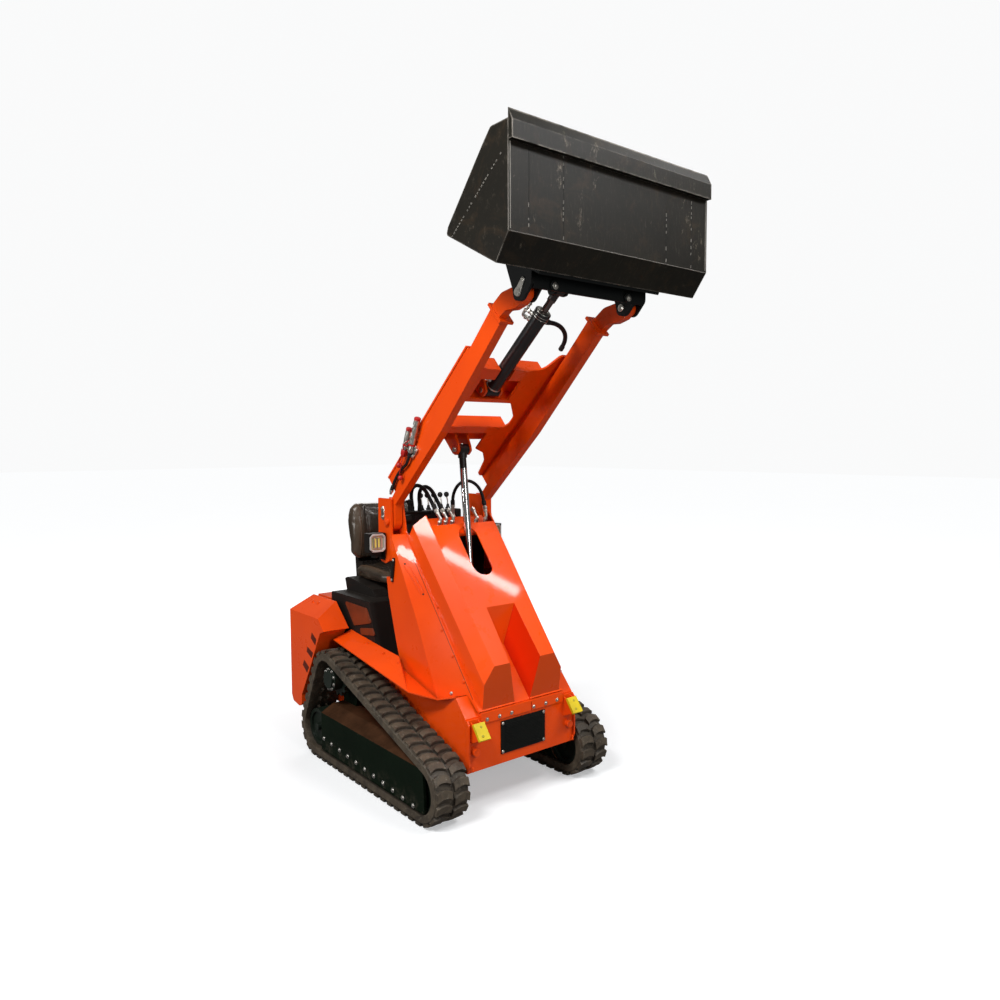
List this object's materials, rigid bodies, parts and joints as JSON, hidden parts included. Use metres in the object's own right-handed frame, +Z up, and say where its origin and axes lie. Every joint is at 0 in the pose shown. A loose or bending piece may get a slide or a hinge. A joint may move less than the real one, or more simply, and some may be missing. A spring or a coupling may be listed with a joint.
{
  "type": "mini track loader",
  "caption": "Compact ride-on track loader with sloped hood, raised loader arms on a single lift cylinder, tilting bucket, rubber tracks and an operator seat.",
  "frame": {"origin": "middle of the whole machine's plan outline, arms raised, at ground level", "axes": "+Z up; the machine faces -Y; +X is the operator's left"},
  "size_m": [1.128, 2.032, 2.85],
  "materials": {
    "black_plastic": "satin",
    "bucket_steel": "worn",
    "chrome_rod": "polished",
    "cylinder_black": "gloss",
    "dark_metal": "satin",
    "hose_rubber": "satin",
    "light_lens": "clear",
    "orange_paint": "gloss",
    "seat_vinyl": "satin",
    "track_rubber": "matt, dusty",
    "yellow_pad": "matt",
    "zinc_steel": "zinc plated"
  },
  "bodies": {
    "chassis": {"arm_stop_pads": "yellow_pad", "bulkhead_plate": "orange_paint", "chassis_frame": "orange_paint", "console": "black_plastic", "control_levers": "black_plastic", "drive_sprockets": "dark_metal", "engine_block": "dark_metal", "front_grille_plate": "black_plastic", "front_panel": "orange_paint", "hood": "orange_paint", "hose_arch": "hose_rubber", "hose_loop_inner": "hose_rubber", "hose_loop_outer": "hose_rubber", "hydraulic_fittings": "zinc_steel", "idlers": "dark_metal", "inner_panels": "black_plastic", "lift_base_pin": "zinc_steel", "loader_towers": "orange_paint", "rear_cover": "orange_paint", "rear_fenders": "orange_paint", "seat_backrest": "seat_vinyl", "seat_base": "black_plastic", "seat_cushion": "seat_vinyl", "seat_inset_panels": "orange_paint", "side_latch_bars": "black_plastic", "track_frames": "dark_metal", "track_left": "track_rubber", "track_right": "track_rubber", "track_wings": "orange_paint", "work_light_housings": "black_plastic", "work_light_lenses": "light_lens"},
    "lift_arm": {"loader_arms": "orange_paint", "arm_crossmembers": "orange_paint", "arm_pins": "zinc_steel", "coupler_block": "zinc_steel", "hose_arm": "hose_rubber"},
    "lift_barrel": {"lift_cylinder_barrel": "cylinder_black"},
    "lift_rod": {"lift_cylinder_rod": "chrome_rod"},
    "tilt_barrel": {"tilt_cylinder_barrel": "cylinder_black", "hose_tilt": "hose_rubber"},
    "tilt_rod": {"tilt_cylinder_rod": "chrome_rod"},
    "bucket": {"hitch_plate": "bucket_steel", "bucket_shell": "bucket_steel", "cutting_edge": "bucket_steel", "hitch_pins": "zinc_steel"}
  },
  "joints": [
    {"name": "lift_arm", "type": "hinge", "parent": "chassis", "child": "lift_arm", "pos_m": [0, 0.261, 1.3], "axis": [1, 0, 0], "range_deg": [0, 92]},
    {"name": "lift_cylinder_swing", "type": "hinge", "parent": "chassis", "child": "lift_barrel", "pos_m": [0, -0.081, 0.3], "axis": [1, 0, 0], "range_deg": [0, 6.76]},
    {"name": "lift_rod_slide", "type": "slide", "parent": "lift_barrel", "child": "lift_rod", "axis": [0, 0.1038, 0.9946], "range_m": [-0.57996, 0]},
    {"name": "bucket_tilt", "type": "hinge", "parent": "lift_arm", "child": "bucket", "pos_m": [0, -0.769, 2.28], "axis": [1, 0, 0], "range_deg": [-25, 90]},
    {"name": "tilt_cylinder_swing", "type": "hinge", "parent": "lift_arm", "child": "tilt_barrel", "pos_m": [0, -0.174, 1.942], "axis": [1, 0, 0], "range_deg": [-1.55, 5.57]},
    {"name": "tilt_rod_slide", "type": "slide", "parent": "tilt_barrel", "child": "tilt_rod", "axis": [0, -0.7605, 0.6493], "range_m": [-0.05143, 0.18462]}
  ],
  "couplings": [
    {"joint": "lift_cylinder_swing", "follows": "lift_arm", "ratio": 0.073331},
    {"joint": "lift_rod_slide", "follows": "lift_arm", "m_per_rad": -0.36106},
    {"joint": "tilt_cylinder_swing", "follows": "bucket_tilt", "ratio": 0.061749},
    {"joint": "tilt_rod_slide", "follows": "bucket_tilt", "m_per_rad": 0.11741}
  ]
}
